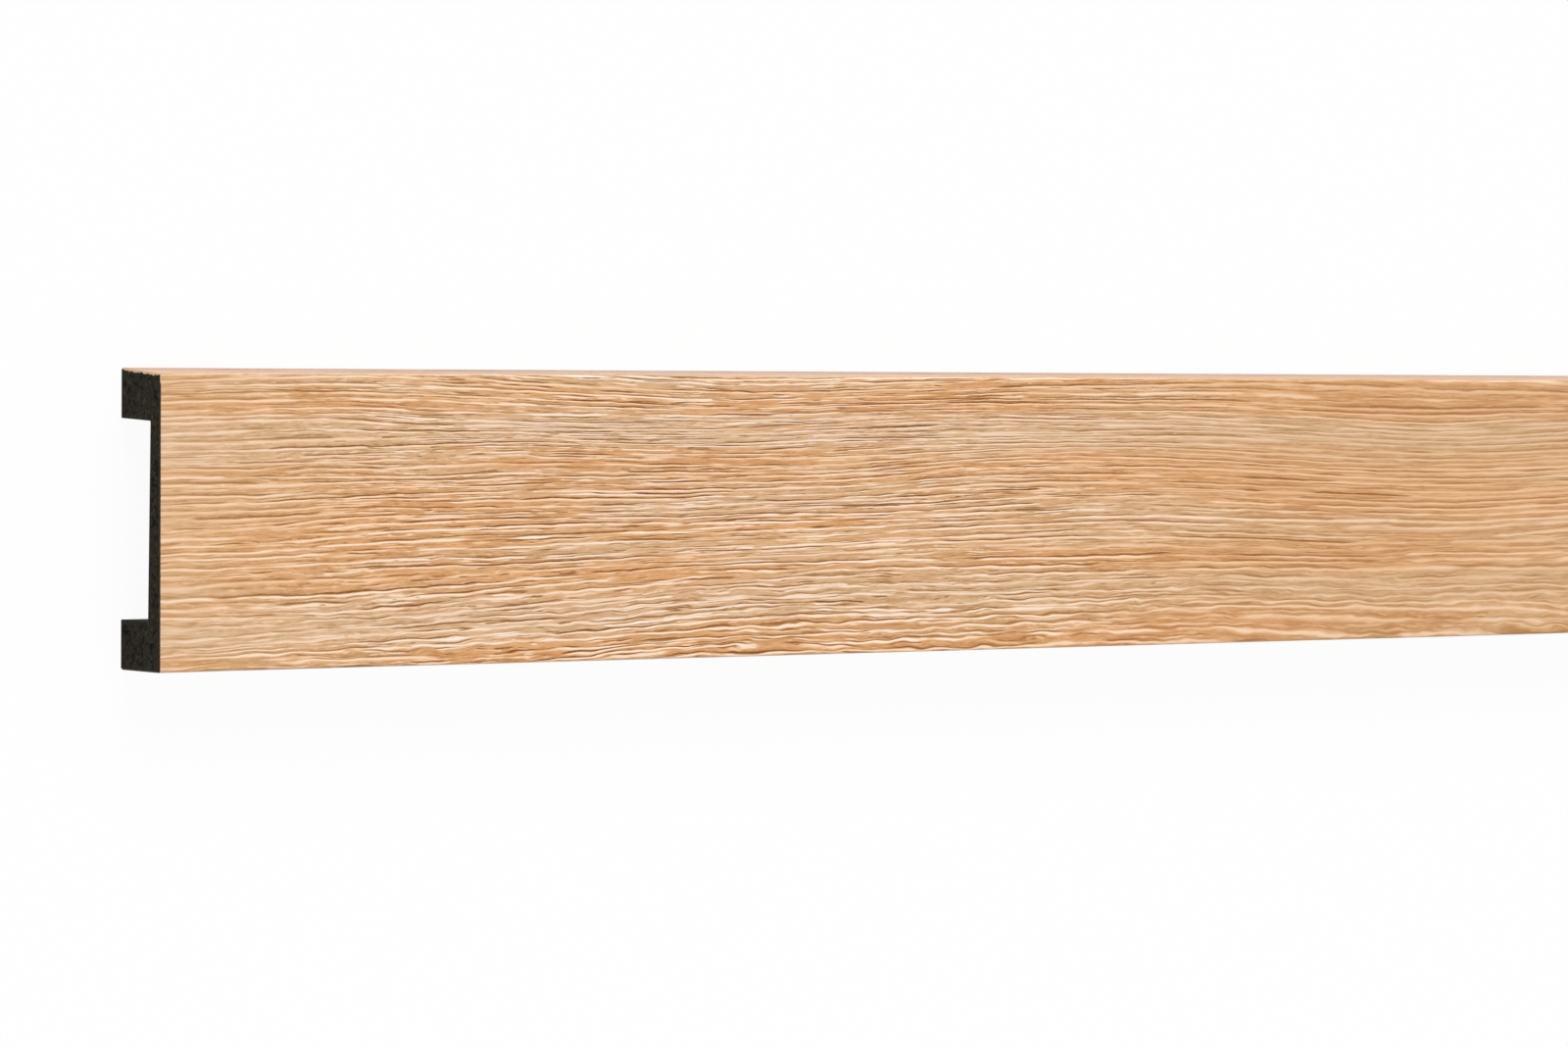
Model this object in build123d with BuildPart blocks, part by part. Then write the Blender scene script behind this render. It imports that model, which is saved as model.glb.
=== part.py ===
"""Wood-look channel moulding: an extruded foam core with a decor foil wrapped round its face and edges.

The moulding lies on its two feet with the face up. X runs along the length, Y across the width and
Z out of the face. The origin is the middle of the footprint, on the plane that the feet rest on.
All sizes are in millimetres.
"""

import os

from build123d import *

# Overall sizes, foil included
stock_length = 2000.0
overall_width = 60.0
overall_height = 16.0

# Decor foil
foil_thickness = 0.2
foil_back_margin = 0.6  # bare core left between the foil's edge and the back of the feet

# Walls of the core
foot_width = 9.8  # at the back
web_thickness_upper = 4.0  # at the foot on the +Y side
web_thickness_lower = 4.8  # at the foot on the -Y side
upper_side_lean = 1.1  # how much further in the outer +Y side lies at the face than at the back
upper_wall_lean = 0.45  # how much further in the channel's +Y wall lies at the web than at the back

# Roundings
face_edge_radius = 0.3  # the core's two long edges at the face
channel_corner_radius = 0.3  # where each foot meets the web, inside the channel
foot_edge_radius = 0.25  # the edges of the feet that touch the wall or the floor

# What follows from the sizes above
core_width = overall_width - 2 * foil_thickness
core_height = overall_height - foil_thickness
core_side = core_width / 2
channel_side = core_side - foot_width
channel_floor_upper = core_height - web_thickness_upper
channel_floor_lower = core_height - web_thickness_lower
upper_side_face = core_side - upper_side_lean
upper_side_slope = upper_side_lean / (core_height - foil_back_margin)
upper_side_back = core_side + upper_side_slope * foil_back_margin
section_plane = Plane.YZ.offset(-stock_length / 2)

# The core: one extruded section, a web across the face with a foot down each long edge.
# The corners run from the lower foot's outer back edge round the face and back through the channel.
core_corners = [
    (-core_side, 0),
    (-core_side, core_height),
    (upper_side_face, core_height),
    (upper_side_back, 0),
    (channel_side, 0),
    (channel_side - upper_wall_lean, channel_floor_upper),
    (-channel_side, channel_floor_lower),
    (-channel_side, 0),
]
core_corner_radii = [
    foot_edge_radius,
    face_edge_radius,
    face_edge_radius,
    foot_edge_radius,
    foot_edge_radius,
    channel_corner_radius,
    channel_corner_radius,
    foot_edge_radius,
]

with BuildPart() as core:
    with BuildSketch(section_plane):
        with BuildLine():
            FilletPolyline(*core_corners, radius=core_corner_radii, close=True)
        make_face()
    extrude(amount=stock_length)

# The foil: a strip of even thickness laid on the core's outline, up one long edge, over the face
# and down the other edge. It stops short of the back, so the part rests on the core alone.
foil_corners = [
    (-core_side, foil_back_margin),
    (-core_side, core_height),
    (upper_side_face, core_height),
    (core_side, foil_back_margin),
]

with BuildPart() as foil:
    with BuildSketch(section_plane):
        with BuildLine():
            FilletPolyline(*foil_corners, radius=face_edge_radius)
            offset(amount=foil_thickness, side=Side.LEFT, closed=True)
        make_face()
    extrude(amount=stock_length)

# Finished pieces
core.part.label = "core"
foil.part.label = "foil"

os.makedirs("parts", exist_ok=True)
for piece in (core.part, foil.part):
    export_step(piece, f"parts/{piece.label}.step")
    print(piece.label, "volume", round(piece.volume / 1000, 1), "cm3, size", piece.bounding_box().size)
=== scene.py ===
"""Looks of the wood-look channel moulding: a limed-oak foil over a core of black foamed polystyrene.

The moulding lies on its feet with the face up, in the frame's own axes: X along the length, Y across
the width and Z out of the face. Lengths are in metres, unless a name says mm. The grain of the foil is
worked out in millimetres along and across the film, laid flat.
"""

import logging
import math
from collections.abc import Iterable, Mapping, Sequence
from dataclasses import dataclass
from enum import Enum

import bpy
import numpy as np
from mathutils import Euler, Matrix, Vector
from mathutils.geometry import delaunay_2d_cdt


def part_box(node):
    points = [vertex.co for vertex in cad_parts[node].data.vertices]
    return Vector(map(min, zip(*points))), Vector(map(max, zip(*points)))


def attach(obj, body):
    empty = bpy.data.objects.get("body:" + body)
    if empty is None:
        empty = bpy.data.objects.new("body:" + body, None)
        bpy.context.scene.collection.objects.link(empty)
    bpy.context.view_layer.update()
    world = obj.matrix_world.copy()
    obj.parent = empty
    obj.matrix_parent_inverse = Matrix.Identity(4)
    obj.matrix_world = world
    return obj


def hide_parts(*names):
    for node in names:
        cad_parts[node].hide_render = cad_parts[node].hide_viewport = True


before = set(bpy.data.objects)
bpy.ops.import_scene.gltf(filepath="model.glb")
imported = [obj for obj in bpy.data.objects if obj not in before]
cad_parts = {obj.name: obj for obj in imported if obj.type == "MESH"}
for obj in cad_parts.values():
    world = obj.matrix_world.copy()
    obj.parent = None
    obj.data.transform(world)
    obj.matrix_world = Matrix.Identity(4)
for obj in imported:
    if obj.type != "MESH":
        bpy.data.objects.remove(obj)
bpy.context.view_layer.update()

MM = 0.001
BODY = "root"

# The map that the finishes are baked through, and the part of it that is used
BAKE_MAP = "OFBake"
MAP_START, MAP_SHARE = 0.004, 0.99

# The mesh attribute that carries each point's place on the flat film
FILM_PLACE = "film_place_mm"

# How far the noise is moved for each step of a seed, and from one lane of grain to the next
SEED_STEPS = (7.31, 3.77, 1.93)
LANE_STEP, LANE_SEED_STEP = 7.13, 1.37

log = logging.getLogger("moulding")

Cell = tuple[float, float, float]
Colour = tuple[float, ...]
Span = tuple[float, float]


class CutEnd(Enum):
    """The two sawn ends, by the way each one faces along X."""

    NEAR = -1
    FAR = 1


class Carried(Enum):
    """The mesh attributes that carry one number for each point.

    EMBOSS is how much of the pressing the point takes. WRAPPED is how far down a side of the film it
    lies, above 0 on the +Y side and below 0 on the -Y side. TORN is how the sawn rim looks there.
    FROM_SKIN is how deep inside the foam it lies, CUT which sawn end it lies on, and AROUND how far
    round the outline.
    """

    EMBOSS = "emboss"
    WRAPPED = "wrapped"
    TORN = "torn"
    FROM_SKIN = "from_skin_mm"
    CUT = "cut_side"
    AROUND = "around_mm"


# Colours and nodes


def paint(red: float, green: float, blue: float) -> tuple[float, float, float, float]:
    """Turns a colour as a screen shows it, 0 to 255, into the linear colour that a shader takes.

    Args:
        red: the red level.
        green: the green level.
        blue: the blue level.

    Returns:
        The linear red, green and blue, and an alpha of 1.
    """
    toe, toe_slope, lift, power = 0.04045, 12.92, 0.055, 2.4
    levels = (level / 255 for level in (red, green, blue))
    linear = (x / toe_slope if x <= toe else ((x + lift) / (1 + lift)) ** power for x in levels)
    return (*linear, 1.0)


def find_socket(sockets: Iterable[bpy.types.NodeSocket], key: str | int) -> bpy.types.NodeSocket:
    """Finds a node's socket by its place, its identifier or its name.

    Args:
        sockets: the inputs or the outputs of a node.
        key: the place as a number, or the identifier or name.

    Returns:
        The socket.
    """
    every = list(sockets)
    if isinstance(key, int):
        return every[key]
    named = [s for s in every if s.identifier == key] or [s for s in every if s.name == key]
    return named[0]


def set_stops(ramp: bpy.types.ColorRamp, stops: Mapping[float, Sequence[float]]) -> None:
    """Gives a ramp its stops.

    Args:
        ramp: the ramp, as a new node has it, with two stops.
        stops: the colour at each place from 0 to 1, in rising order.
    """
    for _ in range(len(stops) - 2):
        ramp.elements.new(0.5)
    for element, (place, colour) in zip(ramp.elements, stops.items(), strict=True):
        element.position = place
        element.color = colour


class Wire:
    """An output of a node. Arithmetic on it adds Math nodes to the tree."""

    def __init__(self, sheet: "NodeSheet", socket: bpy.types.NodeSocket | None) -> None:
        """Wraps an output socket of the sheet's tree, or nothing for a node that has none."""
        self.sheet = sheet
        self.socket = socket

    def other(self, key: str | int) -> "Wire":
        """Another output of the same node, by place, identifier or name."""
        return Wire(self.sheet, find_socket(self.socket.node.outputs, key))

    def maths(self, operation: str, *numbers: "Wire | float") -> "Wire":
        """Adds one Math node to the sheet, with these numbers on its sockets in order."""
        return self.sheet.maths(operation, *numbers)

    def __add__(self, value: "Wire | float") -> "Wire":
        """The sum."""
        return self.maths("ADD", self, value)

    __radd__ = __add__

    def __sub__(self, value: "Wire | float") -> "Wire":
        """The difference."""
        return self.maths("SUBTRACT", self, value)

    def __rsub__(self, value: float) -> "Wire":
        """The difference from a plain number."""
        return self.maths("SUBTRACT", value, self)

    def __mul__(self, value: "Wire | float") -> "Wire":
        """The product."""
        return self.maths("MULTIPLY", self, value)

    __rmul__ = __mul__

    def __truediv__(self, value: "Wire | float") -> "Wire":
        """The quotient."""
        return self.maths("DIVIDE", self, value)

    def __rtruediv__(self, value: float) -> "Wire":
        """A plain number divided by this."""
        return self.maths("DIVIDE", value, self)

    def __neg__(self) -> "Wire":
        """The number with its sign turned."""
        return self.maths("MULTIPLY", self, -1.0)

    def size(self) -> "Wire":
        """The number without its sign."""
        return self.maths("ABSOLUTE", self)

    def clamped(self) -> "Wire":
        """The number held between 0 and 1."""
        return self.sheet.add("ShaderNodeClamp", {}, {"Value": self})

    def rise(self, low: float, high: float) -> "Wire":
        """A smooth step from 0 to 1 as the number goes from low to high."""
        return self.sheet.add(
            "ShaderNodeMapRange",
            {"interpolation_type": "SMOOTHSTEP"},
            {"Value": self, "From Min": low, "From Max": high},
        )


class NodeSheet:
    """A node tree that is being filled in, for a material or for Geometry Nodes."""

    def __init__(self, tree: bpy.types.NodeTree) -> None:
        """Wraps a tree."""
        self.tree = tree

    def add(
        self,
        kind: str,
        settings: Mapping[str, object] | None = None,
        sockets: Mapping[str | int, object] | None = None,
        output: str | int = 0,
    ) -> Wire:
        """Adds a node, sets its settings and then its sockets.

        Args:
            kind: the node's type.
            settings: the node's own properties by name, such as a Math node's operation, or the
                stops of a ramp.
            sockets: a value or a Wire for each input, by place, identifier or name.
            output: which output to return.

        Returns:
            The chosen output, which reaches the others through its other method. A node without
            outputs gives a Wire with no socket.
        """
        node = self.tree.nodes.new(kind)
        for name, value in (settings or {}).items():
            if name == "stops":
                set_stops(node.color_ramp, value)
            else:
                setattr(node, name, value)
        for key, value in (sockets or {}).items():
            entry = find_socket(node.inputs, key)
            if isinstance(value, Wire):
                self.tree.links.new(value.socket, entry)
            else:
                entry.default_value = value
        return Wire(self, find_socket(node.outputs, output) if len(node.outputs) else None)

    def maths(self, operation: str, *numbers: Wire | float) -> Wire:
        """Adds one Math node, with these numbers on its sockets in order."""
        return self.add("ShaderNodeMath", {"operation": operation}, dict(enumerate(numbers)))

    def split(self, vector: Wire) -> Wire:
        """The X of a vector. Its Y and Z are reached through the other method."""
        return self.add("ShaderNodeSeparateXYZ", {}, {"Vector": vector})

    def blend(self, factor: Wire, first: Wire | Colour, second: Wire | Colour) -> Wire:
        """Mixes two colours: the first where the factor is 0, the second where it is 1."""
        return self.mix({"data_type": "RGBA"}, factor, first, second)

    def tint(self, factor: Wire, colour: Wire, tint: Colour) -> Wire:
        """Multiplies a colour by a tint, as far as the factor says."""
        return self.mix({"data_type": "RGBA", "blend_type": "MULTIPLY"}, factor, colour, tint)

    def mix(
        self, settings: Mapping[str, str], factor: Wire, first: Wire | Colour, second: Wire | Colour
    ) -> Wire:
        """Adds a Mix node for two colours, with these settings."""
        sockets = {"Factor_Float": factor, "A_Color": first, "B_Color": second}
        return self.add("ShaderNodeMix", settings, sockets, "Result_Color")

    def scaled(self, vector: Wire, scale: Wire) -> Wire:
        """A vector made longer or shorter."""
        return self.add("ShaderNodeVectorMath", {"operation": "SCALE"}, {0: vector, "Scale": scale})

    def noise(
        self, place: Wire, cell: Cell, seed: float, detail: float = 2.0, roughness: float = 0.5
    ) -> Wire:
        """Adds cloudy noise, drawn out by the size of its cell.

        Args:
            place: where the noise is read, in the units of the cell.
            cell: the size of one cell along X, Y and Z.
            seed: picks another stretch of the noise.
            detail: the number of finer layers.
            roughness: how strong the finer layers are.

        Returns:
            The noise, about 0.5 on average.
        """
        scale = [1 / size for size in cell]
        start = [seed * step for step in SEED_STEPS]
        read_at = self.add(
            "ShaderNodeVectorMath", {"operation": "MULTIPLY_ADD"}, {0: place, 1: scale, 2: start}
        )
        return self.noise_at(read_at, detail, roughness)

    def lane_noise(self, along: Wire, lane: Wire, seed: float) -> Wire:
        """Noise that runs along each lane and has nothing to do with the next lane's."""
        sockets = {"X": along, "Y": lane * LANE_STEP, "Z": seed * LANE_SEED_STEP}
        return self.noise_at(self.add("ShaderNodeCombineXYZ", {}, sockets), detail=2.0, roughness=0.6)

    def noise_at(self, place: Wire, detail: float, roughness: float) -> Wire:
        """Adds a Noise Texture with cells of 1, read at a place."""
        sockets = {"Vector": place, "Scale": 1.0, "Detail": detail, "Roughness": roughness}
        return self.add("ShaderNodeTexNoise", {"noise_dimensions": "3D"}, sockets)

    def carried(self, name: str, output: str = "Fac") -> Wire:
        """Reads in a material what the mesh carries under a name."""
        return self.add("ShaderNodeAttribute", {"attribute_name": name}, {}, output)

    def named(self, name: str, data_type: str = "FLOAT") -> Wire:
        """Reads in Geometry Nodes what the mesh carries under a name."""
        return self.add("GeometryNodeInputNamedAttribute", {"data_type": data_type}, {"Name": name})


def blank_material(name: str) -> tuple[bpy.types.Material, NodeSheet]:
    """Makes a material that has no nodes yet.

    Args:
        name: its name.

    Returns:
        The material, and the sheet of its tree.
    """
    material = bpy.data.materials.new(name)
    material.use_nodes = True
    material.node_tree.nodes.clear()
    return material, NodeSheet(material.node_tree)


# Finishes


@dataclass(frozen=True)
class Marks:
    """What grain lines draw, each from 0 to 1.

    Attributes:
        dark: the brown lines.
        cream: the limed lines beside them, also a painted highlight on each groove's lit lower wall.
    """

    dark: Wire
    cream: Wire


@dataclass(frozen=True)
class GrainLines:
    """One family of grain lines. Each line runs in a lane of its own, so that lines never cross.

    Attributes:
        pitch_mm: the width of a lane.
        run_mm: how far a line runs before it fades or comes back.
        dark_mm: half the width of a brown line.
        cream_mm: half the width of a limed line.
        highlight_apart_mm: how far below the brown line the limed one lies, where it is also a
        painted highlight on the groove's lit lower wall.
        seed: picks the lines.
        dark_shown: where the noise that breaks up the brown lines starts and ends its rise.
        cream_shown: the same for the limed lines.
        strength: how strong the family is beside the others.
        crowd: over how many lanes the lanes are pushed to and fro, which crowds them in places.
        crowd_cell: the size of such a place, in runs along and lanes across.
        centre_spread: over what share of its lane the middle of a line may lie.
        peak: the strength at the middle of a line before it is cut off at 1, for a broader full part.
        cream_run: the run of a limed line, as a share of run_mm.
        cream_seed: what is added to the seed for it.
        cream_mix: the shares of its own noise and of the brown line's noise in it.
        cream_ragged: how ragged its edges are beside the brown line's.
        dark_tones: the least strength of a brown line, and how much more chance may add.
        cream_tones: the same for a limed line.
    """

    pitch_mm: float
    run_mm: float
    dark_mm: float
    cream_mm: float
    # The limed line's offset also paints the highlight of each groove's lit lower wall
    highlight_apart_mm: float
    seed: float
    dark_shown: Span
    cream_shown: Span
    strength: float = 1.0
    crowd: float = 2.4
    crowd_cell: Span = (3.0, 5.0)
    centre_spread: float = 0.34
    peak: float = 1.3
    cream_run: float = 0.7
    cream_seed: float = 50.0
    cream_mix: Span = (0.6, 0.4)
    cream_ragged: float = 0.8
    dark_tones: Span = (0.62, 0.42)
    cream_tones: Span = (0.65, 0.4)

    def draw(
        self, sheet: NodeSheet, bent: Wire, ragged: Wire | float, widened: Wire | float = 1.0
    ) -> Marks:
        """Draws the family.

        Args:
            sheet: the tree.
            bent: the place on the bent film, in mm.
            ragged: what is taken off the lines' strength, to roughen their edges.
            widened: how many times as wide as printed the lines are.

        Returns:
            Its brown and its limed lines.
        """
        along = sheet.split(bent)
        cell = (self.run_mm * self.crowd_cell[0], self.pitch_mm * self.crowd_cell[1], 1.0)
        crowded = (sheet.noise(bent, cell, self.seed, detail=1.0) - 0.5) * self.crowd
        level = along.other("Y") / self.pitch_mm + crowded
        lane = sheet.maths("FLOOR", level)
        lane_seed = sheet.add("ShaderNodeCombineXYZ", {}, {"X": lane, "Y": self.seed})
        chance = sheet.add(
            "ShaderNodeTexWhiteNoise", {"noise_dimensions": "2D"}, {"Vector": lane_seed}, "Color"
        )
        chances = sheet.split(chance)
        shown = sheet.lane_noise(along / self.run_mm, lane, self.seed)
        cream_along = along / (self.run_mm * self.cream_run)
        own = sheet.lane_noise(cream_along, lane, self.seed + self.cream_seed)
        centre = (chances - 0.5) * self.centre_spread
        offset = (level - lane - 0.5 - centre) * self.pitch_mm
        dark_reach = offset.size() / widened / self.dark_mm
        dark = shown.rise(*self.dark_shown) * self.peak - dark_reach - ragged
        mixed = own * self.cream_mix[0] + shown * self.cream_mix[1]
        # Just below the brown line: printed liming, and a painted highlight on the groove's lit lower
        # wall
        cream_reach = (offset + self.highlight_apart_mm).size() / widened / self.cream_mm
        cream = mixed.rise(*self.cream_shown) * self.peak - cream_reach - ragged * self.cream_ragged
        (dark_least, dark_more), (cream_least, cream_more) = self.dark_tones, self.cream_tones
        dark_tone = self.strength * (dark_least + chances.other("Y") * dark_more)
        cream_tone = self.strength * (cream_least + chances.other("Z") * cream_more)
        return Marks((dark.clamped() * dark_tone).clamped(), (cream.clamped() * cream_tone).clamped())


@dataclass(frozen=True)
class LimedOak:
    """The grain that is printed on the foil and embossed in register with the print.

    A span of two lengths says where along or across the film something starts and is complete.

    Attributes:
        families: the lines, the broadest family first.
        drift_mm: how far the grain drifts across the film, in long slow waves.
        drift_cell: the size of one such wave.
        wander_mm: how far it wanders, in shorter waves.
        wander_cell: the size of one of those.
        ripple_mm: how far it ripples.
        ripple_cell: the size of one ripple.
        lively_mm: where across the film the ripples grow.
        lively_ripple_mm: how much they grow there.
        arch_mm: the height of the low arch that the grain makes along the middle.
        arch_middle_mm: where across the film the arch is highest.
        arch_half_mm: how far to each side it reaches.
        arch_starts_mm: where along the film it rises.
        arch_ends_mm: where it has sunk again.
        short_runs_mm: where along the film the runs are shorter, from the near end on.
        shortened_by_mm: how much longer a stretch of grain is squeezed in there.
        pale_end_mm: how the brown lines gain strength from the near end on.
        cream_pale: the least strength of the limed lines there, and how much more they gain.
        calm_mm: where the far stretch of calmer lines starts.
        calm_loss: what share of their strength the lines lose on it.
        fine_from_mm: how the finer lines gain strength from the near end on.
        fine_loss: what share of their strength the finer lines lose on the far stretch.
        spread: how much wider the broadest lines get as the finer ones fade.
        fibre_cell: the size of the finest streaks.
        fibre_gain: what brings their noise to about -1 to 1.
        ragged: how much the finest streaks roughen the edges of the lines.
        worn_cell: the size of the patches where the brown lines are weaker.
        worn_shown: where the noise that makes those patches starts and ends its rise.
        worn_tones: the strength in the patches, and how much more there is outside them.
        groove_widened: how much wider than printed the embossed grooves are.
    """

    families: tuple[GrainLines, ...] = (
        GrainLines(1.6, 34.0, 0.155, 0.25, 0.3, 3.0, (0.43, 0.56), (0.37, 0.5)),
        GrainLines(1.05, 18.0, 0.145, 0.22, 0.27, 11.0, (0.45, 0.6), (0.42, 0.56), 0.95),
        GrainLines(0.7, 7.0, 0.13, 0.17, 0.23, 17.0, (0.49, 0.66), (0.47, 0.62), 0.8),
    )
    drift_mm: float = 9.0
    drift_cell: Cell = (150.0, 44.0, 1.0)
    wander_mm: float = 3.0
    wander_cell: Cell = (70.0, 20.0, 1.0)
    ripple_mm: float = 0.7
    ripple_cell: Cell = (8.0, 2.4, 1.0)
    lively_mm: Span = (40.0, 22.0)
    lively_ripple_mm: float = 0.7
    arch_mm: float = 5.0
    arch_middle_mm: float = 40.0
    arch_half_mm: float = 27.0
    arch_starts_mm: Span = (20.0, 150.0)
    arch_ends_mm: Span = (320.0, 700.0)
    short_runs_mm: Span = (-10.0, 75.0)
    shortened_by_mm: float = 28.0
    pale_end_mm: Span = (-150.0, 100.0)
    cream_pale: Span = (0.4, 0.6)
    calm_mm: Span = (170.0, 330.0)
    calm_loss: float = 0.42
    fine_from_mm: Span = (-200.0, 90.0)
    fine_loss: float = 0.45
    spread: float = 1.7
    fibre_cell: Cell = (2.6, 0.25, 1.0)
    fibre_gain: float = 3.2
    ragged: float = 0.45
    worn_cell: Cell = (180.0, 14.0, 1.0)
    worn_shown: Span = (0.3, 0.6)
    worn_tones: Span = (0.8, 0.3)
    groove_widened: float = 2.3

    def flow(self, sheet: NodeSheet, place: Wire) -> Wire:
        """Bends straight grain into gently waving grain.

        Args:
            sheet: the tree.
            place: the place on the film, in mm.

        Returns:
            The place on the bent film, in mm.
        """
        drift = sheet.noise(place, self.drift_cell, seed=5.0, detail=0.0) - 0.5
        wander = sheet.noise(place, self.wander_cell, seed=9.0, detail=1.0) - 0.5
        ripple = sheet.noise(place, self.ripple_cell, seed=13.0, detail=1.0) - 0.5
        along = sheet.split(place)
        across = along.other("Y")
        lively = across.rise(*self.lively_mm) * self.lively_ripple_mm + self.ripple_mm
        moved = drift * self.drift_mm + wander * self.wander_mm + ripple * lively
        reach = (across - self.arch_middle_mm) / self.arch_half_mm
        height = (1 - reach * reach).clamped() * self.arch_mm
        arch = along.rise(*self.arch_starts_mm) * (1 - along.rise(*self.arch_ends_mm)) * height
        shortened = (1 - along.rise(*self.short_runs_mm)) * self.shortened_by_mm
        bent = {"X": along - shortened, "Y": across + moved - arch}
        return sheet.add("ShaderNodeCombineXYZ", {}, bent)

    def fineness(self, along: Wire) -> Wire:
        """How strong the finer lines are at each place along the film, from 0 to 1."""
        return along.rise(*self.fine_from_mm) * (1 - along.rise(*self.calm_mm) * self.fine_loss)

    def fibres(self, sheet: NodeSheet, bent: Wire) -> Wire:
        """The finest streaks, from about -1 to 1."""
        streaks = sheet.noise(bent, self.fibre_cell, seed=21.0, detail=3.0, roughness=0.6) - 0.5
        return streaks * self.fibre_gain * self.fineness(sheet.split(bent))

    def draw(self, sheet: NodeSheet, bent: Wire, fibres: Wire) -> Marks:
        """Draws every family of lines and keeps the strongest at each place.

        Args:
            sheet: the tree.
            bent: the place on the bent film, in mm.
            fibres: the finest streaks.

        Returns:
            The lines of all the families together.
        """
        ragged = fibres * self.ragged
        along = sheet.split(bent)
        fine = self.fineness(along)
        broad = self.families[0].draw(sheet, bent, ragged, widened=(1 - fine) * self.spread + 1)
        dark, cream = broad.dark, broad.cream
        for family in self.families[1:]:
            marks = family.draw(sheet, bent, ragged)
            dark = sheet.maths("MAXIMUM", dark, marks.dark * fine)
            cream = sheet.maths("MAXIMUM", cream, marks.cream * fine)
        worn, unworn = self.worn_tones
        patches = sheet.noise(bent, self.worn_cell, seed=41.0, detail=1.0)
        bitten = patches.rise(*self.worn_shown) * unworn + worn
        calm = 1 - along.rise(*self.calm_mm) * self.calm_loss
        near = along.rise(*self.pale_end_mm)
        cream_least, cream_more = self.cream_pale
        return Marks(
            dark * (bitten * near * calm), cream * (calm * (near * cream_more + cream_least))
        )

    def broad_height(self, sheet: NodeSheet, place: Wire) -> Wire:
        """The widest grooves alone, from -1 to 0, for a mesh that can't hold the fine ones."""
        grooves = self.families[0].draw(sheet, self.flow(sheet, place), 0.0, self.groove_widened)
        return -grooves.dark


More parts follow.
